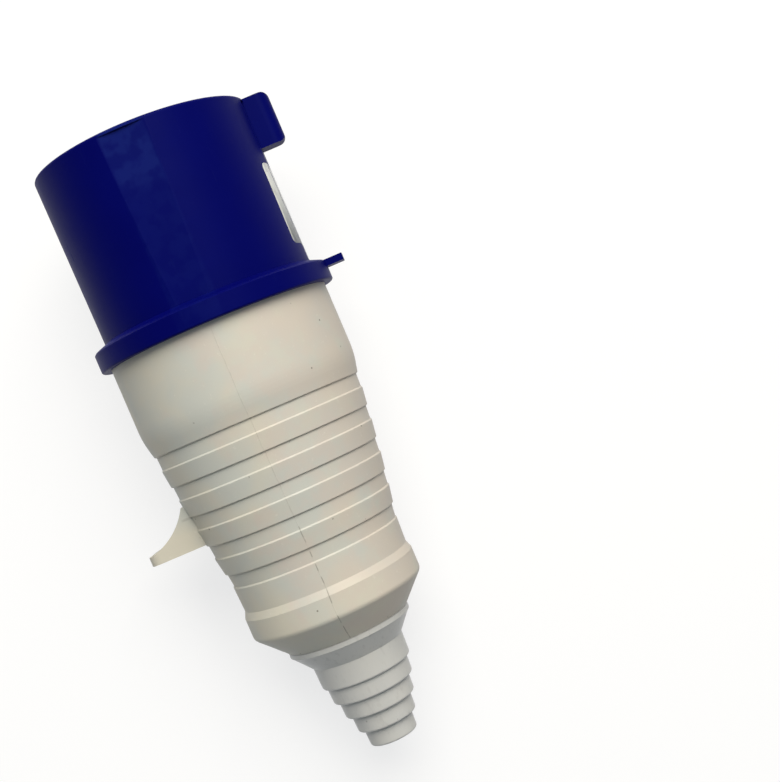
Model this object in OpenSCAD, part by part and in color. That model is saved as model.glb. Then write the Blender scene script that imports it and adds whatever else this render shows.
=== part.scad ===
// Industrial pin and sleeve plug, three line pins and earth, lying on a flat surface.
// Each sub-part is drawn in the plug's own frame: z runs along the axis from the mouth plane to the tail,
// +x is the side of the keying lug and +y is up. lay_down() then sets the plug on the surface.

/* [Sleeve] */
// Outer radius of the sleeve at its mouth
sleeve_r = 28.45; // [28.3:0.05:29]
// Outer radius of the sleeve where it meets the flange
sleeve_root_r = 28.1; // [27.9:0.05:28.3]
// Wall of the sleeve
sleeve_wall = 2.2; // [1.8:0.1:2.4]
// Rounding of the rim
rim_round = 0.7; // [0.3:0.1:0.8]
// Depth from the mouth plane to the face that carries the pins
face_z = 38.9; // [34:0.1:39.5]
// Width of the two flats along the sleeve
flat_w = 12.3; // [8:0.1:13]

/* [Flange] */
// Outer radius of the flange
flange_r = 31.6; // [31.2:0.1:33]
// Distance from the mouth plane to the flange's full radius
flange_z = 45.6; // [45:0.1:46]
// Distance from the mouth plane to the flange's rear edge
flange_end = 50.6; // [50:0.1:52]
// Rounding of the flange's rear edge
flange_round = 0.5; // [0.2:0.05:0.8]

/* [Lug and tab] */
// Reach of the keying lug from the axis
lug_r = 34.6; // [33.5:0.1:36]
// Width of the keying lug
lug_w = 6.2; // [5:0.1:7]
// Length of the keying lug along the sleeve
lug_len = 13.4; // [10:0.1:16]
// Radius of the cored hole in the lug's front face
lug_hole_r = 1.8; // [1.2:0.1:2]
// Reach of the thin tab on the flange from the axis
tab_r = 36.2; // [34:0.1:37]
// Thickness of the tab
tab_t = 1.8; // [1.2:0.1:2.2]

/* [Pins] */
// Radius of the circle that the pins stand on
pin_circle_r = 12.4; // [12:0.1:13]
// Radius of a line pin
line_r = 3; // [2.5:0.05:3.2]
// Radius of the earth pin
earth_r = 4; // [3.5:0.05:4.2]
// Distance from the mouth plane back to the pin tips
tip_z = 9; // [6:0.1:14]
// Radius of a line pin's terminal post
line_post_r = 4; // [3.6:0.1:4.3]
// Radius of the earth pin's terminal post
earth_post_r = 5; // [4.4:0.1:5.2]

/* [Rear cover] */
// Outer radius of the cover's straight front part
cover_r = 29.15; // [29:0.05:29.4]
// Wall of the cover
cover_wall = 2.4; // [2:0.1:2.8]
// Distance from the mouth plane to the first grip ring
ring_z = 75; // [74:0.1:76]
// Number of grip rings
ring_count = 5; // [3:1:5]
// Distance from ring to ring
ring_pitch = 8.52; // [8:0.01:8.6]
// Height of a ring's rear step
ring_step = 0.5; // [0.3:0.05:0.6]
// Outer radius of the lip near the tail
lip_r = 23.1; // [22.9:0.1:23.6]
// Distance from the mouth plane to where the lip turns into the tail's chamfer
lip_end = 127.2; // [126.8:0.1:127.8]
// Rounding of that turn
lip_round = 1.8; // [0.5:0.1:2]
// Distance from the mouth plane to the cover's rear end
cover_end = 134; // [133.6:0.1:134.4]

/* [Finger hook] */
// Reach of the finger hook from the axis
hook_r = 38.8; // [35:0.1:41]
// Width of the finger hook
hook_w = 15; // [10:0.1:18]
// Distance from the mouth plane to the hook's flat rear face
hook_z = 100; // [99:0.1:100.2]
// Thickness of the hook at its tip
hook_tip_t = 2.4; // [1.8:0.1:3]

/* [Cable boot] */
// Radius of the boot's collar behind the cover
collar_r = 16.5; // [16:0.1:16.8]
// Number of steps on the boot
boot_steps = 5; // [4:1:5]
// Radius of the boot's first step
boot_r = 12.2; // [11.8:0.05:12.6]
// Radius of the cable hole
cable_r = 5; // [4:0.1:5.2]
// Distance from the mouth plane to the tail end
tail_z = 164.6; // [162:0.1:166]

/* [Cable clamp] */
// Distance from the mouth plane to the middle of the cable clamp
clamp_z = 88; // [84:0.5:92]
// Length of the clamp along the cable
clamp_len = 8; // [6:0.5:10]
// Radius of the groove that grips the cable
grip_r = 4.7; // [4:0.1:5.2]
// Distance of a clamp screw from the axis
clamp_screw_y = 9.5; // [8.5:0.1:10]

/* [Hidden] */
$fn = 96;
eps = 0.01;

// colours
blue = "#1420a0";
dark = "#15182c";
white_nylon = "#d8d8d0";
ivory = "#c6c1b3";
boot_grey = "#bcbcba";
brass = "#d2b45a";
steel = "#a8adb2";
black = "#26262a";

// shroud, seen from the mouth: sleeve, seat of the carrier, guide collar, groove for the seal
carrier_z = face_z + 2.5;      // rear of the carrier's front flange, on the shroud's ledge
carrier_flange_r = 26.1;
carrier_r = 22.9;              // body of the carrier, through the ledge
ledge_z = carrier_z + 2.6;
collar_wall = 1.4;
seal_z = 46.6;                 // floor of the groove that holds the seal
seal_t = 1.3;
seat_r = cover_r + 0.05;       // inside of the flange, round the cover
sleeve_bore_r = sleeve_r - sleeve_wall;
sleeve_bore_root_r = carrier_flange_r + 0.05;
flat_d = sqrt(sleeve_r * sleeve_r - flat_w * flat_w / 4);
flat_start = 0.9;

plateau_r = 17.6;              // low plateau round the pins
plateau_h = 0.8;

// pins
nose_r = 0.5;                  // the tip is a 45 degree cone between a blunt nose and a blend
nose_h = 0.12;
tip_blend = 0.9;
shank_step = 0.3;              // the shank is larger than the exposed pin
shank_gap = 0.05;
pin_collar_t = 2;
post_step = 1.2;               // the collar is larger than the post
post_end = 66;
wire_gap = 1.7;                // wall of the post round the wire hole
wire_depth = 13;
post_screw_z = 60;
post_screw_r = 1.65;
post_screw_turn = 45;          // each terminal screw looks past the next post

// line pins stand at the lug's side, on top and at the hook's side, and earth is at the bottom
line_angles = [0, 90, 180];
earth_angle = 270;

// retainer plate and its barriers
retainer_end = seal_z + 3;
barrier_t = 1.4;
barrier_in = 5;
barrier_out = 19;
barrier_end = 68;

// housing screws, through carrier and retainer into the cover's bosses
housing_screw_x = 20.9;
housing_screw_r = 1.48;
housing_head_r = 2.55;
housing_head_z = face_z + 0.5;
boss_r = 3.2;
boss_z = retainer_end + 0.5;
boss_end = 72;

// cover
cover_z = seal_z + seal_t;
shoulder_z = 67.2;             // where the straight front part starts to round in
shoulder_round = 24;
ring_drop = 0.85;              // fall of the radius from ring to ring
ring_bow = 0.08;               // and its growth
land_len = 3.7;                // recessed band behind each ring
land_lift = 0.25;
hook_root_z = 89;
hook_hollow_r = 17;
hook_in_r = 24.1;              // the hook ends here, within the cover's wall
hook_core_r = 26.6;
hook_wall = 1.5;
waist_z = 119.6;
waist_r = 22.35;
lip_z = 121.5;
neck_r = 13.4;                 // hole in the cover's end wall
end_wall = 2.7;
pocket_r = 15.65;              // inner collar that holds the gland
pocket_z = 124.6;
pocket_wall = 1.55;
rib_t = 1.6;

// clamp bridge, standing on the retainer
leg_in = 18.6;
leg_out = 21;
leg_w = 7;
foot_t = 2.5;
foot_screw = [7.8, 18.2];
cradle_x = 9.5;
bar_x = 6.6;
bar_y = 13;

// gland and boot
gland_z = 127.3;               // front of the boot's inner flange
washer_t = 2;
seal_pocket_r = 10.5;
seal_pocket_end = 134.5;
collar_end = cover_end + 1.9;
cone_end = 140.3;
boot_first_end = 146.3;
boot_step_len = (tail_z - boot_first_end) / (boot_steps - 1);
boot_tail_r = 6.5;
boot_round = 0.6;

// resting pose: the roundings of the flange's rear edge and of the lip touch the surface
tail_slope = atan((lip_r - collar_r) / (cover_end - lip_end));
flange_centre = [flange_r - flange_round, flange_end - flange_round];
lip_centre = [lip_r - lip_round, lip_end - lip_round * tan(tail_slope / 2)];
rest_tilt = atan((flange_centre[0] - lip_centre[0]) / (lip_centre[1] - flange_centre[1]))
    + asin((flange_round - lip_round) / norm(lip_centre - flange_centre));
rest_lift = flange_centre[1] * sin(rest_tilt) + flange_centre[0] * cos(rest_tilt) + flange_round;
front_x = rim_round + (sleeve_r - rim_round) * sin(rest_tilt) - rim_round * cos(rest_tilt);
back_x = -(tail_z - boot_round) * cos(rest_tilt) - (boot_tail_r - boot_round) * sin(rest_tilt) - boot_round;

// Sets the plug on its side, mouth towards +X, with the origin under the middle of its box.
module lay_down() {
    translate([-(front_x + back_x) / 2, (tab_r - hook_r) / 2, rest_lift])
        rotate([0, -rest_tilt, 0])
            rotate([90, 0, -90])
                children();
}

// Points on an arc, from angle a0 to a1.
function arc(c, r, a0, a1, n = 6) =
    [for (i = [0:n]) c + r * [cos(a0 + (a1 - a0) * i / n), sin(a0 + (a1 - a0) * i / n)]];

// Radius of the cover over the crests of its grip rings.
function crest_r(z) =
    let (u = (z - ring_z) / ring_pitch) cover_r - 1.15 - ring_drop * u - ring_bow * u * u;

function ring_end(k) = ring_z + ring_pitch * k;

function boot_step_r(k) = boot_r + (boot_tail_r - boot_r) * pow(k / (boot_steps - 1), 1.12);

function boot_step_end(k) = boot_first_end + boot_step_len * k;

module rod(r, z0, z1) {
    translate([0, 0, z0]) cylinder(r = r, h = z1 - z0);
}

module ring(r_out, r_in, z0, z1) {
    difference() {
        rod(r_out, z0, z1);
        rod(r_in, z0 - 1, z1 + 1);
    }
}

// Puts its children at each housing screw.
module at_housing_screws() {
    for (side = [-1, 1]) translate([side * housing_screw_x, 0, 0]) children();
}

// Puts its children at each foot of the clamp bridge.
module at_feet() {
    for (turn = [0, 180]) rotate([0, 0, turn]) children();
}

// Puts its children on a pin's axis, turned so that +x is the way its terminal screw looks.
module at_pin(angle) {
    rotate([0, 0, angle]) translate([pin_circle_r, 0, 0]) rotate([0, 0, post_screw_turn]) children();
}

// Crossed slots of a screw head whose top is at z, deepening towards +z.
module cross_recess(z, w, l, depth) {
    for (turn = [0, 90])
        rotate([0, 0, turn]) translate([-l / 2, -w / 2, z - 1]) cube([l, w, depth + 1]);
}

// Pan-head screw along +z, with its head's top at z = 0.
module pan_screw(head_r, head_h, r, length) {
    difference() {
        union() {
            rotate_extrude() polygon(concat(
                [[0, 0]],
                arc([head_r - 0.7 * head_h, 0.7 * head_h], 0.7 * head_h, -90, 0),
                [[head_r, head_h], [0, head_h]]
            ));
            rod(r, head_h - eps, length - r);
            translate([0, 0, length - r - eps]) cylinder(r1 = r, r2 = 0.2 * r, h = r);
        }
        cross_recess(0, 0.28 * head_r, 1.3 * head_r, 0.6 * head_h);
    }
}

// ---------- shroud ----------

module shroud_body() {
    rotate_extrude() polygon(concat(
        arc([sleeve_r - rim_round, rim_round], rim_round, -90, 0),
        [
            [sleeve_root_r, flange_z - 1.4],
            [flange_r - 0.4, flange_z - 0.2],
            [flange_r, flange_z + 0.2]
        ],
        arc(flange_centre, flange_round, 0, 90),
        [
            [seat_r, flange_end],
            [seat_r, seal_z],
            [sleeve_bore_root_r, seal_z],
            [sleeve_bore_root_r, ledge_z],
            [carrier_r + collar_wall + 0.1, ledge_z],
            [carrier_r + collar_wall + 0.1, seal_z],
            [carrier_r + 0.1, seal_z],
            [carrier_r + 0.1, carrier_z],
            [sleeve_bore_root_r, carrier_z]
        ],
        arc([sleeve_bore_r + rim_round, rim_round], rim_round, 180, 270)
    ));
}

// Side view of the lug with its outer corners rounded, turned round the axis.
module lug_envelope() {
    corner = 1.6;
    lug_z = 0.3;
    rotate_extrude() polygon(concat(
        [[sleeve_bore_root_r + 1, lug_z + lug_len], [sleeve_bore_root_r + 1, lug_z]],
        arc([lug_r - corner, lug_z + corner], corner, -90, 0),
        arc([lug_r - corner, lug_z + lug_len - corner], corner, 0, 90)
    ));
}

module lug() {
    intersection() {
        lug_envelope();
        union() {
            translate([0, -lug_w / 2, 0]) cube([lug_r - lug_w / 2, lug_w, lug_len + 2]);
            translate([lug_r - lug_w / 2, 0, 0]) cylinder(r = lug_w / 2, h = lug_len + 2);
        }
    }
}

module tab() {
    tab_w = 6;
    tab_z = flange_z - 0.1;
    intersection() {
        ring(tab_r, flange_r - 1, tab_z, tab_z + tab_t);
        translate([0, -tab_w / 2, tab_z - 1]) cube([tab_r + 1, tab_w, tab_t + 2]);
    }
}

// One flat along the sleeve, from just behind the rim to the flange.
module sleeve_flat() {
    translate([flat_d, -flat_w, flat_start]) cube([3, 2 * flat_w, flange_z - 1.6 - flat_start]);
}

module shroud() {
    color(blue) lay_down() difference() {
        union() {
            difference() {
                shroud_body();
                sleeve_flat();
                rotate([0, 0, 90]) sleeve_flat();
            }
            lug();
            tab();
        }
        translate([lug_r - 3.65, 0, -1]) cylinder(r = lug_hole_r, h = 9);
    }
}

// ---------- pin carrier ----------

module carrier_body() {
    rotate_extrude() polygon([
        [0, face_z - plateau_h],
        [plateau_r, face_z - plateau_h],
        [plateau_r + 0.3, face_z],
        [carrier_flange_r, face_z],
        [carrier_flange_r, carrier_z],
        [carrier_r, carrier_z],
        [carrier_r, seal_z],
        [0, seal_z]
    ]);
}

// Room in the carrier for one pin: its shank and its collar.
module pin_seat(r, post_r) {
    rod(r + shank_step + shank_gap, 0, seal_z);
    rod(post_r + post_step + shank_gap, seal_z - pin_collar_t, seal_z + 1);
}

module pin_carrier() {
    core_r = 4.6;
    color(dark) lay_down() difference() {
        carrier_body();
        for (angle = line_angles) at_pin(angle) pin_seat(line_r, line_post_r);
        at_pin(earth_angle) pin_seat(earth_r, earth_post_r);
        at_housing_screws() {
            rod(housing_screw_r + 0.25, 0, seal_z + 1);
            rod(housing_head_r + 0.35, 0, carrier_z - 0.2);
        }
        // moulding cores in the rear face, between the pins
        for (turn = [45, 225]) rotate([0, 0, turn]) translate([15.6, 0, 0]) rod(core_r, carrier_z, seal_z + 1);
        rod(1.3, carrier_z, seal_z + 1);
        at_feet() translate(foot_screw) rod(1.3, carrier_z, seal_z + 1);
    }
}

// ---------- contact pins ----------

// Distance from the mouth plane to where a pin's tip ends and its straight shaft starts.
function shaft_z(r) = tip_z + nose_h + r - nose_r + tip_blend * (sqrt(2) - 1);

// Turned pin: pointed tip, exposed shaft, thicker shank, collar and a drilled terminal post.
module contact_pin(r, post_r) {
    wire_r = post_r - wire_gap;
    difference() {
        rotate_extrude() polygon(concat(
            [[0, tip_z], [nose_r, tip_z + nose_h]],
            arc([r - tip_blend, shaft_z(r)], tip_blend, -45, 0, 4),
            [
                [r, face_z - plateau_h],
                [r + shank_step, face_z - plateau_h],
                [r + shank_step, seal_z - pin_collar_t],
                [post_r + post_step, seal_z - pin_collar_t],
                [post_r + post_step, seal_z],
                [post_r, seal_z],
                [post_r, post_end - 0.5],
                [post_r - 0.5, post_end],
                [0, post_end]
            ]
        ));
        rod(wire_r, post_end - wire_depth, post_end + 1);
        translate([0, 0, post_screw_z]) rotate([0, 90, 0]) cylinder(r = post_screw_r + 0.05, h = post_r + 1);
    }
}

module line_pin(k) {
    color(brass) lay_down() at_pin(line_angles[k]) contact_pin(line_r, line_post_r);
}

module earth_pin() {
    color(brass) lay_down() at_pin(earth_angle) contact_pin(earth_r, earth_post_r);
}

// Slotted headless screw, from inside the wire hole to just outside the post.
module terminal_screw(post_r) {
    proud = 0.9;
    inner = 1;
    translate([inner, 0, post_screw_z]) rotate([0, 90, 0]) difference() {
        cylinder(r = post_screw_r, h = post_r + proud - inner);
        translate([-post_screw_r - 1, -0.3, post_r + proud - inner - 0.8])
            cube([2 * post_screw_r + 2, 0.6, 1]);
    }
}

module line_terminal_screws() {
    color(steel) lay_down() for (angle = line_angles) at_pin(angle) terminal_screw(line_post_r);
}

module earth_terminal_screw() {
    color(steel) lay_down() at_pin(earth_angle) terminal_screw(earth_post_r);
}

// ---------- pin retainer ----------

module pin_retainer() {
    color(white_nylon) lay_down() difference() {
        union() {
            rod(carrier_r, seal_z, retainer_end);
            for (turn = [45:90:315])
                rotate([0, 0, turn])
                    translate([barrier_in, -barrier_t / 2, seal_z])
                        cube([barrier_out - barrier_in, barrier_t, barrier_end - seal_z]);
        }
        for (angle = line_angles) at_pin(angle) rod(line_post_r + 0.1, 0, barrier_end + 1);
        at_pin(earth_angle) rod(earth_post_r + 0.1, 0, barrier_end + 1);
        at_housing_screws() rod(housing_screw_r + 0.25, 0, barrier_end);
        rod(1.6, 0, barrier_end);
        at_feet() translate(foot_screw) rod(1.6, 0, barrier_end);
    }
}

module retainer_screw() {
    color(steel) lay_down()
        translate([0, 0, retainer_end + 2]) mirror([0, 0, 1]) pan_screw(2.9, 2, 1.25, 9);
}

// ---------- housing screws and seal ----------

module housing_screws() {
    color(steel) lay_down() at_housing_screws()
        translate([0, 0, housing_head_z]) pan_screw(housing_head_r, carrier_z - 0.2 - housing_head_z, housing_screw_r, 27);
}

module cover_seal() {
    color(black) lay_down() ring(cover_r - 0.1, cover_r - 2.3, seal_z, cover_z);
}

// ---------- rear cover ----------

// Outline of one grip ring's rear step and of the recessed band behind it.
function ring_outline(k) =
    let (z0 = ring_end(k), z1 = z0 + land_len) [
        [crest_r(z0), z0 - 0.1],
        [crest_r(z0) - ring_step, z0 + 0.15],
        [crest_r(z1) - land_lift, z1 - 0.2],
        [crest_r(z1), z1 + 0.2]
    ];

function cover_outline() = concat(
    [[cover_r, cover_z]],
    [for (z = [shoulder_z:1.2:ring_z - 1])
        [cover_r - shoulder_round + sqrt(pow(shoulder_round, 2) - pow(z - shoulder_z, 2)), z]],
    [for (k = [0:ring_count - 1]) each ring_outline(k)],
    [[waist_r, waist_z], [lip_r, lip_z]],
    arc(lip_centre, lip_round, 0, tail_slope, 4),
    [[collar_r, cover_end]]
);

function cover_inside() = [
    [neck_r, cover_end],
    [neck_r, cover_end - end_wall],
    [pocket_r, cover_end - end_wall],
    [pocket_r, pocket_z],
    [pocket_r + pocket_wall, pocket_z],
    [pocket_r + pocket_wall, cover_end - end_wall - 2],
    [lip_r - cover_wall, lip_end - 1.6],
    [lip_r - cover_wall, lip_z + 0.4],
    [waist_r - cover_wall, waist_z - 1],
    [crest_r(ring_z) - cover_wall, ring_z],
    [cover_r - cover_wall, shoulder_z - 1],
    [cover_r - cover_wall, cover_z]
];

module cover_shell() {
    rotate_extrude() polygon(concat(cover_outline(), cover_inside()));
}

// Boss for a housing screw, with the rib that joins it to the wall.
module cover_boss(side) {
    translate([side * housing_screw_x, 0, 0]) rod(boss_r, boss_z, boss_end);
    translate([side > 0 ? housing_screw_x : -cover_r + cover_wall / 2, -rib_t / 2, boss_z])
        cube([cover_r - cover_wall / 2 - housing_screw_x, rib_t, boss_end - boss_z]);
}

// Side view of the finger hook: flat rear face and a hollow curve on the side of the mouth. With a wall, the
// curve is left out by that much more, which gives the core inside the hook.
module hook_outline(wall = 0, rear = hook_z) {
    root = [crest_r(hook_root_z) - 0.3, hook_root_z];
    tip = [hook_r, hook_z - hook_tip_t];
    chord = tip - root;
    rise = sqrt(pow(hook_hollow_r, 2) - pow(norm(chord) / 2, 2));
    hollow = (tip + root) / 2 + rise * [chord[1], -chord[0]] / norm(chord);
    difference() {
        polygon([root - [2, 0], root, tip, [hook_r, rear], [root[0] - 4, rear]]);
        translate(hollow) circle(r = hook_hollow_r + wall);
    }
}

// Stands a side view up on the hook's side of the axis, with its given width.
module hook_side(w) {
    rotate([90, 0, 180]) translate([0, 0, -w / 2]) linear_extrude(w) children();
}

module finger_hook() {
    corner = 3;
    intersection() {
        hook_side(hook_w) hook_outline();
        // seen along the axis, the tip has rounded corners
        translate([-hook_r, 0, 0]) union() {
            translate([corner, -hook_w / 2, 0]) cube([hook_r, hook_w, tail_z]);
            translate([0, -hook_w / 2 + corner, 0]) cube([hook_r, hook_w - 2 * corner, tail_z]);
            for (side = [-1, 1]) translate([corner, side * (hook_w / 2 - corner), 0]) cylinder(r = corner, h = tail_z);
        }
    }
}

// Cores in the hook's rear face, one on each side of a rib.
module hook_cores() {
    rib = 1.6;
    w = (hook_w - rib) / 2 - hook_wall;
    for (side = [-1, 1])
        translate([0, side * (rib + w) / 2, 0]) hook_side(w) intersection() {
            hook_outline(hook_wall, hook_z + 1);
            translate([hook_core_r, hook_root_z]) square([hook_r - hook_wall - hook_core_r, hook_r]);
        }
}

module rear_cover() {
    color(ivory) lay_down() difference() {
        union() {
            cover_shell();
            cover_boss(1);
            cover_boss(-1);
            difference() {
                finger_hook();
                rod(hook_in_r, hook_z - 20, hook_z + 1);
            }
        }
        hook_cores();
        at_housing_screws() rod(housing_screw_r + 0.02, boss_z - 1, boss_end - 2);
    }
}

// ---------- cable clamp ----------

module clamp_groove() {
    rod(grip_r, clamp_z - clamp_len, clamp_z + clamp_len);
}

// Two low teeth round the groove that bite the cable.
module clamp_teeth() {
    for (side = [-1, 1])
        translate([0, 0, clamp_z + side * clamp_len / 4])
            rotate_extrude() polygon([[grip_r + 0.2, -0.6], [grip_r - 0.5, 0], [grip_r + 0.2, 0.6]]);
}

// Half of space on one side of the clamp's split plane.
module half_space(side) {
    translate([side > 0 ? 0 : -20, -20, clamp_z - clamp_len]) cube([20, 40, 2 * clamp_len]);
}

module bridge_leg() {
    translate([-leg_w / 2, leg_in, retainer_end])
        cube([leg_w, leg_out - leg_in, clamp_z + clamp_len / 2 - retainer_end]);
    translate([-leg_w / 2, foot_screw[1] - 0.5, retainer_end])
        cube([leg_w / 2 + foot_screw[0], leg_out - foot_screw[1] + 0.5, foot_t]);
    translate(foot_screw) rod(2.9, retainer_end, retainer_end + foot_t);
}

module clamp_bridge() {
    color(white_nylon) lay_down() difference() {
        union() {
            difference() {
                union() {
                    at_feet() bridge_leg();
                    translate([0, -leg_out, clamp_z - clamp_len / 2])
                        cube([cradle_x, 2 * leg_out, clamp_len]);
                }
                clamp_groove();
            }
            intersection() {
                clamp_teeth();
                half_space(1);
            }
        }
        at_feet() translate(foot_screw) rod(1.6, 0, clamp_z);
        for (side = [-1, 1])
            translate([-1, side * clamp_screw_y, clamp_z])
                rotate([0, 90, 0]) cylinder(r = 1.5, h = cradle_x - 0.5);
    }
}

module bridge_screws() {
    color(steel) lay_down() at_feet()
        translate(concat(foot_screw, [retainer_end + foot_t + 1.8])) mirror([0, 0, 1]) pan_screw(2.4, 1.8, 1.25, 11);
}

module clamp_bar() {
    color(white_nylon) lay_down() {
        difference() {
            translate([-bar_x, -bar_y, clamp_z - clamp_len / 2]) cube([bar_x, 2 * bar_y, clamp_len]);
            clamp_groove();
            for (side = [-1, 1])
                translate([-bar_x - 1, side * clamp_screw_y, clamp_z])
                    rotate([0, 90, 0]) cylinder(r = 1.75, h = bar_x + 2);
        }
        intersection() {
            clamp_teeth();
            half_space(-1);
        }
    }
}

module clamp_screws() {
    color(steel) lay_down() for (side = [-1, 1])
        translate([-bar_x - 2.1, side * clamp_screw_y, clamp_z]) rotate([0, 90, 0]) pan_screw(2.6, 2.1, 1.45, 15.5);
}

// ---------- gland and boot ----------

module gland_washer() {
    color(white_nylon) lay_down() ring(pocket_r - 0.05, cable_r + 2, gland_z - washer_t, gland_z);
}

// Rubber seal with three lips towards the cable.
module cable_seal() {
    lips = 3;
    pitch = (seal_pocket_end - gland_z) / lips;
    color(black) lay_down() rotate_extrude() polygon(concat(
        [[seal_pocket_r - 0.05, gland_z], [seal_pocket_r - 0.05, seal_pocket_end]],
        [for (k = [lips - 1:-1:0]) each [
            [cable_r + 1.1, gland_z + pitch * (k + 0.9)],
            [cable_r + 0.1, gland_z + pitch * (k + 0.5)],
            [cable_r + 1.1, gland_z + pitch * (k + 0.1)]
        ]]
    ));
}

// One step of the boot: nearly straight, with its rear edge rounded.
function boot_step_outline(k) =
    let (r = boot_step_r(k), z = boot_step_end(k))
        concat(
            [[r + 0.1, k == 0 ? cone_end : boot_step_end(k - 1)]],
            arc([r - boot_round - 0.1, z - boot_round], boot_round, 0, 90, 4)
        );

module cable_boot() {
    color(boot_grey) lay_down() rotate_extrude() polygon(concat(
        [
            [seal_pocket_r, gland_z],
            [pocket_r - 0.05, gland_z],
            [pocket_r - 0.05, cover_end - end_wall],
            [neck_r - 0.05, cover_end - end_wall],
            [neck_r - 0.05, cover_end],
            [collar_r, cover_end],
            [collar_r, collar_end - 0.5],
            [collar_r - 0.5, collar_end]
        ],
        [for (k = [0:boot_steps - 1]) each boot_step_outline(k)],
        [
            [cable_r, tail_z],
            [cable_r, seal_pocket_end],
            [seal_pocket_r, seal_pocket_end]
        ]
    ));
}

shroud();
pin_carrier();
line_pin(0);  // line_pin_1
line_pin(1);  // line_pin_2
line_pin(2);  // line_pin_3
earth_pin();
pin_retainer();
retainer_screw();
line_terminal_screws();
earth_terminal_screw();
housing_screws();
cover_seal();
rear_cover();
clamp_bridge();
bridge_screws();
clamp_bar();
clamp_screws();
gland_washer();
cable_seal();
cable_boot();
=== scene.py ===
import math

import bmesh
import bpy
from mathutils import Matrix, Vector


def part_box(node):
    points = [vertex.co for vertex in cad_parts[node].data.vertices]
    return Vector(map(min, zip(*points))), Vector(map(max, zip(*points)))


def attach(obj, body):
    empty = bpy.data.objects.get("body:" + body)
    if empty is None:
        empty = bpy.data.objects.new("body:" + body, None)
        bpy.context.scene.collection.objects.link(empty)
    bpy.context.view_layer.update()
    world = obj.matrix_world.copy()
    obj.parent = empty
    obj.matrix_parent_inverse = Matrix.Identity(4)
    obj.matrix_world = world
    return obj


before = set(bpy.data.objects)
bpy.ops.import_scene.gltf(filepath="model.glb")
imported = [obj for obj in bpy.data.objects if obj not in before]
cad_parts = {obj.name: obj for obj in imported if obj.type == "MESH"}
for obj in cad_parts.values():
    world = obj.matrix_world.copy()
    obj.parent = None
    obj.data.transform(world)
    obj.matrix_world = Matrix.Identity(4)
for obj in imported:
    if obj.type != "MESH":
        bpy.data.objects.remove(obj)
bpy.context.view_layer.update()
print("frame loaded,", len(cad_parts), "nodes")

scene = bpy.context.scene
scene.view_settings.view_transform = "Standard"

# the plug's own axes, read off two plain rings that sit on its axis
plug = {"mouthToSeal": 0.04725}  # from the mouth plane to the middle of the seal
sealLow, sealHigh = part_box("cover_seal")
washerLow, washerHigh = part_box("gland_washer")
sealCentre = (sealLow + sealHigh) / 2
tailward = ((washerLow + washerHigh) / 2 - sealCentre).normalized()
lugward = Vector((0, -1, 0))
upward = tailward.cross(lugward)
mouthCentre = sealCentre - tailward * plug["mouthToSeal"]
plugTurn = Matrix((lugward, upward, tailward)).transposed()


def onPlug(lug, up, back):
    # millimetres towards the lug, up, and back from the mouth
    return mouthCentre + (lugward * lug + upward * up + tailward * back) / 1000


# camera

def placeCamera():
    view = {
        "spot": (36.9, 333.2, 75.0),  # above the plug, a little to the lug's side
        "aim": (33.7, 0.0, 82.7),
        "roll": 23.1,
        "lens": 60.0,
    }
    spot = onPlug(*view["spot"])
    back = (spot - onPlug(*view["aim"])).normalized()
    roll = math.radians(view["roll"])
    right = lugward * math.cos(roll) + tailward * math.sin(roll)
    right = (right - back * right.dot(back)).normalized()
    turn = Matrix((right, back.cross(right), back)).transposed()
    data = bpy.data.cameras.new("sideView")
    data.lens = view["lens"]
    camera = bpy.data.objects.new("sideView", data)
    camera.matrix_world = Matrix.Translation(spot) @ turn.to_4x4()
    scene.collection.objects.link(camera)
    scene.camera = camera


placeCamera()
print("camera placed")


# shader maths

class Wire:
    # an output socket that can be used in expressions

    def __init__(self, tree, socket=None):
        self.tree = tree
        self.socket = socket

    def node(self, kind, settings, inputs, output=0):
        added = self.tree.nodes.new(kind)
        for name, value in settings.items():
            setattr(added, name, value)
        for name, value in inputs.items():
            if isinstance(value, Wire):
                self.tree.links.new(value.socket, added.inputs[name])
            else:
                added.inputs[name].default_value = value
        return Wire(self.tree, added.outputs[output])

    def maths(self, operation, first, second=0.0):
        return self.node("ShaderNodeMath", {"operation": operation}, {0: first, 1: second})

    def __add__(self, other):
        return self.maths("ADD", self, other)

    def __radd__(self, other):
        return self.maths("ADD", other, self)

    def __sub__(self, other):
        return self.maths("SUBTRACT", self, other)

    def __rsub__(self, other):
        return self.maths("SUBTRACT", other, self)

    def __mul__(self, other):
        return self.maths("MULTIPLY", self, other)

    def __rmul__(self, other):
        return self.maths("MULTIPLY", other, self)

    def __mod__(self, other):
        return self.maths("MODULO", self, other)

    def __pow__(self, other):
        return self.maths("POWER", self, other)

    def __abs__(self):
        return self.maths("ABSOLUTE", self)


def colour(red, green, blue):
    # screen values from 0 to 255, as the linear colour that a shader takes
    steps = [value / 255 for value in (red, green, blue)]
    linear = [s / 12.92 if s <= 0.04045 else ((s + 0.055) / 1.055) ** 2.4 for s in steps]
    return (*linear, 1.0)


def split(vector):
    return [vector.node("ShaderNodeSeparateXYZ", {}, {0: vector}, axis) for axis in range(3)]


def stretched(place, lug, up, back):
    return place.node("ShaderNodeVectorMath", {"operation": "MULTIPLY"}, {0: place, 1: (lug, up, back)})


def rising(value, low, high):
    # 0 below low, 1 above high
    return value.node("ShaderNodeMapRange", {"interpolation_type": "SMOOTHSTEP"},
                      {"Value": value, "From Min": low, "From Max": high})


def falling(value, low, high):
    return 1 - rising(value, low, high)


def near(value, centre, half, soft):
    # 1 within half of the centre, fading out over soft
    return falling(abs(value - centre), half, half + soft)


def mixed(mask, first, second):
    return mask.node("ShaderNodeMix", {"data_type": "RGBA"}, {0: mask, 6: first, 7: second}, 2)


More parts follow.
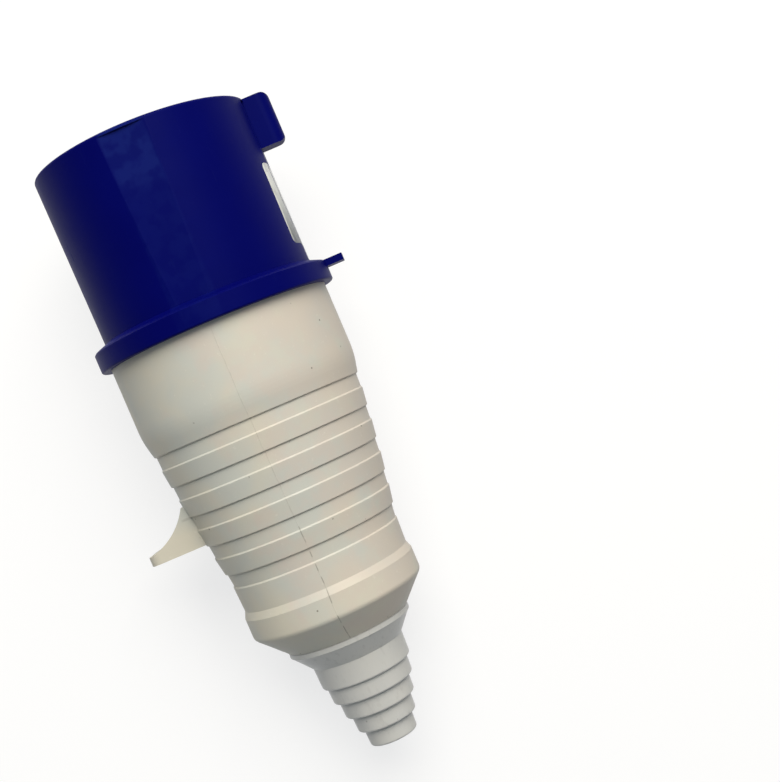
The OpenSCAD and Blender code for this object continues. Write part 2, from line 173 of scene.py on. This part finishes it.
def noise(place, perMm, detail=3.0, roughness=0.55):
    return place.node("ShaderNodeTexNoise", {}, {
        "Vector": place, "Scale": perMm, "Detail": detail, "Roughness": roughness})


def spots(place, spacing, radius):
    # round marks of about that radius, one to each cell of the spacing
    distance = place.node("ShaderNodeTexVoronoi", {"feature": "F1"}, {
        "Vector": place, "Scale": 1 / spacing})
    return falling(distance, radius * 0.6 / spacing, radius / spacing)


def startFinish(name):
    # a new material with its shader, and places in millimetres on the plug's own axes
    finish = bpy.data.materials.new(name)
    finish.use_nodes = True
    tree = finish.node_tree
    start = Wire(tree)
    place = start.node("ShaderNodeMapping", {"vector_type": "TEXTURE"}, {
        "Vector": start.node("ShaderNodeTexCoord", {}, {}, "Object"),
        "Location": mouthCentre,
        "Rotation": plugTurn.to_euler(),
        "Scale": (0.001, 0.001, 0.001),
    })
    return finish, tree.nodes["Principled BSDF"], place


def setShader(shader, values):
    for name, value in values.items():
        if isinstance(value, Wire):
            value.tree.links.new(value.socket, shader.inputs[name])
        else:
            shader.inputs[name].default_value = value


def bumped(height):
    # a height in millimetres, as a normal
    return height.node("ShaderNodeBump", {}, {"Height": height, "Strength": 1.0, "Distance": 0.001})


def dress(material, *names):
    for name in names:
        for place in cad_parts[name].material_slots:
            place.material = material


# finishes

def sleeveFinish():
    look = {
        "blue": colour(2, 5, 98),
        "deep": colour(2, 3, 88),
        "rubbedAndSheen": colour(22, 36, 112),
        "edge": colour(34, 66, 158),
        "flatHalf": 6.0,
        "flatReach": 26.0,
        "sheenAndRubTo": 12.0,
        "rimRadius": 26.4,
        "roughness": 0.4,
    }
    finish, shader, place = startFinish("sleeveBlue")
    lug, up, back = split(place)
    mottle = noise(place, 0.07)
    grain = noise(place, 3.0, 2.0)
    drag = noise(stretched(place, 1.6, 1.6, 0.12), 1.0, 4.0, 0.65)
    base = mixed(mottle, look["deep"], look["blue"])
    # the upper flat is painted lighter in patches, mostly near the mouth: partly painted reflection of
    # the lamp, partly wear from handling, which also dulls it
    onFlat = near(lug, 0.0, look["flatHalf"] - 0.8, 0.9)
    onFlat = onFlat * rising(up, look["flatReach"], look["flatReach"] + 1)
    patches = rising(noise(place, 0.22, 2.0), 0.42, 0.58)
    mouthEnd = falling(back, look["sheenAndRubTo"], look["sheenAndRubTo"] + 6)
    rubbedAndSheen = onFlat * (0.2 + 0.6 * mouthEnd) * (0.35 + 0.65 * patches)
    base = mixed(rubbedAndSheen * 0.7, base, look["rubbedAndSheen"])
    # the rim's edges are worn pale in short stretches
    radius = (lug * lug + up * up) ** 0.5
    rim = near(radius, look["rimRadius"], 0.25, 0.3) * falling(back, 0.6, 1.4)
    wear = rising(noise(place, 0.8, 3.0), 0.45, 0.62)
    base = mixed(rim * (0.25 + 0.55 * wear), base, look["edge"])
    scratches = rising(drag, 0.66, 0.7)
    setShader(shader, {
        "Base Color": mixed(scratches * 0.12, base, look["rubbedAndSheen"]),
        "Roughness": look["roughness"] + 0.12 * mottle + 0.2 * scratches + 0.18 * rubbedAndSheen,
        "Specular IOR Level": 0.05,
        "Specular Tint": (0.6, 0.78, 1.0, 1.0),
        "Normal": bumped(0.012 * grain + 0.05 * noise(place, 0.12, 1.0) - 0.01 * scratches),
    })
    return finish


def coverFinish():
    look = {
        "ivory": colour(216, 210, 193),
        "cool": colour(206, 207, 198),
        "warmCloudAndLitSide": colour(216, 202, 190),
        "grimeAndShade": colour(128, 121, 108),
        "speck": colour(104, 94, 78),
        "paleScuffAndHighlight": colour(236, 232, 220),
        "firstRing": 75.0,
        "ringPitch": 8.52,
        "lastRing": 113.5,
        "land": 3.85,
        "hook": {"reach": -27.5, "half": 7.8, "front": 87.0},
        "seam": 1.3,  # to the lug's side of the top
        "seamFrom": 52.0,
        "darkFrom": 96.0,
        "roughness": 0.42,
    }
    finish, shader, place = startFinish("coverIvory")
    lug, up, back = split(place)
    mottle = noise(place, 0.05, 3.0)
    cloud = noise(place, 0.11, 3.0, 0.6)
    patch = noise(place, 0.35, 4.0)
    grain = noise(place, 4.0, 2.0)
    base = mixed(rising(mottle, 0.35, 0.65), look["ivory"], look["cool"])
    # warm tint in random clouds, and painted light: the tint grows towards the lug's side, where the
    # warm lamp falls
    base = mixed(0.55 * rising(cloud + 0.008 * lug, 0.42, 0.7), base, look["warmCloudAndLitSide"])
    # painted shade darkens the face behind each ring's step, and a painted highlight lightens the next
    # edge, where the light catches it; the hook has neither
    along = (back - look["firstRing"] + 0.4) % look["ringPitch"]
    amongRings = rising(back, look["firstRing"] - 0.6, look["firstRing"] - 0.4)
    amongRings = amongRings * falling(back, look["lastRing"], look["lastRing"] + 0.3)
    hook = look["hook"]
    onHook = falling(lug, hook["reach"], hook["reach"] + 1) * near(up, 0.0, hook["half"], 0.4)
    onHook = onHook * rising(back, hook["front"], hook["front"] + 1)
    amongRings = amongRings * (1 - onHook)
    stepShade = near(along, 0.5, 0.12, 0.35) * amongRings
    landHighlight = near(along, look["land"] + 0.4, 0.1, 0.25) * amongRings
    base = mixed(stepShade * (0.1 + 0.24 * patch), base, look["grimeAndShade"])
    base = mixed(landHighlight * rising(patch, 0.45, 0.6) * 0.2, base, look["paleScuffAndHighlight"])
    # fine seam of the mould along the top and the bottom, dark in short stretches near the tail
    wander = 0.5 * (noise(stretched(place, 0.0, 0.0, 1.0), 0.12, 2.0) - 0.5)
    seam = near(lug + wander, look["seam"], 0.04, 0.14)
    seam = seam * rising(back, look["seamFrom"], look["seamFrom"] + 1)
    broken = rising(noise(stretched(place, 0.0, 0.0, 1.0), 0.3, 2.0), 0.44, 0.54)
    seamShown = seam * broken * (0.2 + 0.8 * rising(back, look["darkFrom"], look["darkFrom"] + 12))
    base = mixed(seamShown * 0.6, base, look["grimeAndShade"])
    # dust specks pressed into the surface, and small pale scuffs
    specks = spots(place, 5.2, 0.3) * rising(noise(place, 0.3), 0.45, 0.5)
    scuffs = rising(noise(place, 0.9, 5.0, 0.7), 0.62, 0.7)
    base = mixed(specks * 0.7, base, look["speck"])
    base = mixed(scuffs * 0.3, base, look["paleScuffAndHighlight"])
    setShader(shader, {
        "Base Color": base,
        "Roughness": look["roughness"] + 0.14 * mottle + 0.1 * scuffs,
        "Specular IOR Level": 0.4,
        "Normal": bumped(0.01 * grain + 0.04 * noise(place, 0.15, 1.0) + 0.04 * seam),
    })
    return finish


def bootFinish():
    look = {
        "grey": colour(214, 212, 206),
        "cool": colour(204, 205, 203),
        "grimeAndShade": colour(120, 117, 112),
        "coverEnd": 134.0,
        "roughness": 0.26,
    }
    finish, shader, place = startFinish("bootGrey")
    back = split(place)[2]
    mottle = noise(place, 0.12, 3.0)
    patch = noise(place, 0.6, 3.0)
    grain = noise(place, 2.5, 2.0)
    base = mixed(mottle, look["grey"], look["cool"])
    specks = spots(place, 4.6, 0.32)
    base = mixed(specks * 0.5, base, look["grimeAndShade"])
    dust = rising(noise(stretched(place, 0.7, 0.7, 0.3), 1.0, 4.0), 0.55, 0.72)
    base = mixed(dust * 0.12, base, look["grimeAndShade"])
    # a thin dark line is painted at the joint with the cover: painted shade in the gap between the
    # parts
    jointShade = near(back, look["coverEnd"], 0.14, 0.25) * (0.6 + 0.4 * patch)
    base = mixed(jointShade * 0.8, base, look["grimeAndShade"])
    setShader(shader, {
        "Base Color": base,
        "Roughness": look["roughness"] + 0.1 * mottle + 0.15 * dust,
        "Specular IOR Level": 0.45,
        "Normal": bumped(0.008 * grain + 0.05 * noise(place, 0.2, 1.0)),
    })
    return finish


def carrierFinish():
    look = {"navy": colour(12, 14, 38), "dust": colour(58, 60, 74), "roughness": 0.42}
    finish, shader, place = startFinish("carrierNavy")
    mottle = noise(place, 0.15)
    dust = rising(noise(place, 0.5, 5.0, 0.7), 0.58, 0.75)
    specks = spots(place, 3.6, 0.25)
    setShader(shader, {
        "Base Color": mixed(dust * 0.2 + specks * 0.3, look["navy"], look["dust"]),
        "Roughness": look["roughness"] + 0.15 * mottle + 0.2 * dust,
        "Specular IOR Level": 0.3,
        "Normal": bumped(0.015 * noise(place, 3.5, 2.0)),
    })
    return finish


def brassFinish():
    look = {"brass": colour(226, 192, 108), "worn": colour(200, 160, 82), "roughness": 0.16}
    finish, shader, place = startFinish("pinBrass")
    # turning marks run round the pin, so they change along it alone
    turning = noise(stretched(place, 0.0, 0.0, 1.0), 14.0, 2.0)
    broad = noise(stretched(place, 0.0, 0.0, 1.0), 1.6, 2.0)
    stain = rising(noise(place, 0.5, 4.0, 0.6), 0.48, 0.7)
    setShader(shader, {
        "Base Color": mixed(0.3 * turning + 0.45 * stain, look["brass"], look["worn"]),
        "Metallic": 1.0,
        "Roughness": look["roughness"] + 0.12 * turning + 0.14 * stain,
        "Normal": bumped(0.004 * turning + 0.006 * broad),
    })
    return finish


def screwFinish():
    look = {"zinc": colour(196, 200, 204), "dull": colour(126, 130, 132), "roughness": 0.3}
    finish, shader, place = startFinish("screwZinc")
    bloom = rising(noise(place, 1.1, 4.0, 0.65), 0.42, 0.66)
    setShader(shader, {
        "Base Color": mixed(bloom, look["zinc"], look["dull"]),
        "Metallic": 1.0,
        "Roughness": look["roughness"] + 0.25 * bloom,
        "Normal": bumped(0.01 * noise(place, 6.0, 2.0)),
    })
    return finish


def nylonFinish():
    look = {"nylon": colour(222, 219, 206), "shade": colour(204, 200, 184), "roughness": 0.46}
    finish, shader, place = startFinish("nylonWhite")
    flow = noise(stretched(place, 1.0, 1.0, 0.3), 0.4, 3.0)
    setShader(shader, {
        "Base Color": mixed(flow, look["nylon"], look["shade"]),
        "Roughness": look["roughness"] + 0.12 * flow,
        "Normal": bumped(0.012 * noise(place, 3.0, 2.0)),
    })
    return finish


def rubberFinish():
    look = {"rubber": colour(44, 44, 46), "bloom": colour(78, 78, 80), "roughness": 0.62}
    finish, shader, place = startFinish("sealRubber")
    bloom = rising(noise(place, 0.8, 4.0, 0.65), 0.45, 0.7)
    setShader(shader, {
        "Base Color": mixed(bloom * 0.6, look["rubber"], look["bloom"]),
        "Roughness": look["roughness"] + 0.15 * bloom,
        "Normal": bumped(0.02 * noise(place, 2.0, 3.0)),
    })
    return finish


def plateFinish():
    look = {"film": colour(204, 206, 204), "soil": colour(150, 150, 142), "roughness": 0.34}
    finish, shader, place = startFinish("plateFilm")
    soil = rising(noise(stretched(place, 1.0, 1.0, 0.4), 0.5, 4.0, 0.6), 0.46, 0.7)
    specks = spots(place, 2.8, 0.2)
    setShader(shader, {
        "Base Color": mixed(soil * 0.5 + specks * 0.4, look["film"], look["soil"]),
        "Roughness": look["roughness"] + 0.2 * soil,
        "Normal": bumped(0.03 * noise(place, 0.5, 2.0) + 0.005 * noise(place, 4.0, 2.0)),
    })
    return finish


dress(sleeveFinish(), "shroud")
dress(coverFinish(), "rear_cover")
dress(bootFinish(), "cable_boot")
dress(carrierFinish(), "pin_carrier")
dress(brassFinish(), "line_pin_1", "line_pin_2", "line_pin_3", "earth_pin")
dress(screwFinish(), "retainer_screw", "line_terminal_screws", "earth_terminal_screw",
      "housing_screws", "bridge_screws", "clamp_screws")
dress(nylonFinish(), "pin_retainer", "clamp_bridge", "clamp_bar", "gland_washer")
dress(rubberFinish(), "cover_seal", "cable_seal")
print("finishes made")


# the bare plate beside the lug

def addPiece(name, shape, material):
    bmesh.ops.recalc_face_normals(shape, faces=shape.faces)
    mesh = bpy.data.meshes.new(name)
    shape.to_mesh(mesh)
    shape.free()
    mesh.materials.append(material)
    mesh.polygons.foreach_set("use_smooth", [True] * len(mesh.polygons))
    piece = bpy.data.objects.new(name, mesh)
    scene.collection.objects.link(piece)
    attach(piece, "root")
    return piece


def makeSidePlate():
    plate = {
        "halfWidth": 9.6,
        "front": 18.0,
        "rear": 39.5,
        "corner": 1.4,
        "cornerSteps": 5,
        "strips": 16,
        "gap": 0.02,
        "thickness": 0.14,
        "flat": 27.78,
        "mouthRadius": 28.45,
        "rootRadius": 28.1,
        "rootAt": 44.2,
    }
    shape = bmesh.new()
    bmesh.ops.create_grid(shape, x_segments=1, y_segments=1, size=1.0)
    halfLength = (plate["rear"] - plate["front"]) / 2
    bmesh.ops.scale(shape, vec=(plate["halfWidth"], halfLength, 1.0), verts=shape.verts)
    bmesh.ops.bevel(shape, geom=shape.verts[:], offset=plate["corner"], segments=plate["cornerSteps"],
                    profile=0.5, affect="VERTICES", material=-1)
    for step in range(1, plate["strips"]):
        across = plate["halfWidth"] * (2 * step / plate["strips"] - 1)
        bmesh.ops.bisect_plane(shape, geom=shape.verts[:] + shape.edges[:] + shape.faces[:],
                               plane_co=(across, 0, 0), plane_no=(1, 0, 0))
    # laid on the sleeve: flat in the middle, round it at the sides
    for vert in shape.verts:
        across = vert.co.x
        back = (plate["front"] + plate["rear"]) / 2 + vert.co.y
        taper = (plate["rootRadius"] - plate["mouthRadius"]) / plate["rootAt"]
        radius = plate["mouthRadius"] + taper * back
        out = min(plate["flat"], math.sqrt(radius ** 2 - across ** 2)) + plate["gap"]
        vert.co = onPlug(out, across, back)
    bmesh.ops.recalc_face_normals(shape, faces=shape.faces)
    if shape.faces[:][0].normal.dot(lugward) > 0:
        bmesh.ops.reverse_faces(shape, faces=shape.faces)
    bmesh.ops.solidify(shape, geom=shape.faces[:], thickness=-plate["thickness"] / 1000)
    return addPiece("side_plate", shape, plateFinish())


makeSidePlate()
print("side plate made")


# room, lamp and floor

def seenRays(start):
    # 1 for rays from the camera, and for those that mirror or pass on what is behind
    path = start.node("ShaderNodeLightPath", {}, {}, "Is Camera Ray")
    rays = path.socket.node.outputs
    mirrored = Wire(path.tree, rays["Is Glossy Ray"])
    passed = Wire(path.tree, rays["Is Transmission Ray"])
    return path.maths("MAXIMUM", path, path.maths("MAXIMUM", mirrored, passed))


def makeRoom():
    room = {
        "ambient": 0.21,
        "tint": (0.85, 0.95, 1.04, 1.0),
        "white": (1.0, 1.0, 1.0, 1.0),
        "zenith": 0.3,
        "wallTop": 0.4,
        "zenithFrom": 0.85,
    }
    world = bpy.data.worlds.new("room")
    world.use_nodes = True
    scene.world = world
    start = Wire(world.node_tree)
    seen = seenRays(start)
    height = split(start.node("ShaderNodeTexCoord", {}, {}, "Generated"))[2]
    walls = 1 - (1 - room["zenith"]) * rising(height, room["wallTop"], room["zenithFrom"])
    background = world.node_tree.nodes["Background"]
    setShader(background, {
        "Color": mixed(seen, room["tint"], room["white"]),
        "Strength": room["ambient"] + seen * (walls - room["ambient"]),
    })


def addKeyLamp():
    # a square softbox; its direction is towards the lug, up, and back, on the plug's axes
    key = {
        "direction": (0.26, 0.74, -0.66),
        "middle": (0, 0, 80),
        "distance": 1.2,
        "size": 1.0,
        "power": 18.0,
        "tint": (1.0, 0.955, 0.87),
    }
    towards = plugTurn @ Vector(key["direction"]).normalized()
    data = bpy.data.lights.new("keyBox", "AREA")
    data.size = key["size"]
    data.energy = key["power"]
    data.color = key["tint"]
    lamp = bpy.data.objects.new("keyBox", data)
    lamp.location = onPlug(*key["middle"]) + towards * key["distance"]
    lamp.rotation_euler = towards.to_track_quat("Z", "Y").to_euler()
    scene.collection.objects.link(lamp)


def makeFloor():
    # it glows a little for the camera, which makes it white and leaves the plug's shadow on it
    floor = {
        "half": 4.0,
        "colour": (0.28, 0.28, 0.28, 1.0),
        "glow": 0.74,
        "farGlow": 1.0,
        "nearEnd": 0.25,
        "farStart": 0.9,
    }
    shape = bmesh.new()
    bmesh.ops.create_grid(shape, x_segments=1, y_segments=1, size=floor["half"])
    mesh = bpy.data.meshes.new("floor")
    shape.to_mesh(mesh)
    shape.free()
    ground = bpy.data.objects.new("floor", mesh)
    scene.collection.objects.link(ground)
    finish = bpy.data.materials.new("paleFloor")
    finish.use_nodes = True
    tree = finish.node_tree
    tree.nodes.remove(tree.nodes["Principled BSDF"])
    start = Wire(tree)
    seen = seenRays(start)
    x, y = split(start.node("ShaderNodeTexCoord", {}, {}, "Object"))[:2]
    far = rising((x * x + y * y) ** 0.5, floor["nearEnd"], floor["farStart"])
    glow = floor["glow"] + (floor["farGlow"] - floor["glow"]) * far
    surface = start.node("ShaderNodeBsdfDiffuse", {}, {"Color": floor["colour"]})
    shine = start.node("ShaderNodeEmission", {}, {"Strength": glow * seen})
    both = start.node("ShaderNodeAddShader", {}, {0: surface, 1: shine})
    tree.links.new(both.socket, tree.nodes["Material Output"].inputs["Surface"])
    mesh.materials.append(finish)


makeRoom()
addKeyLamp()
makeFloor()
print("room, lamp and floor made")
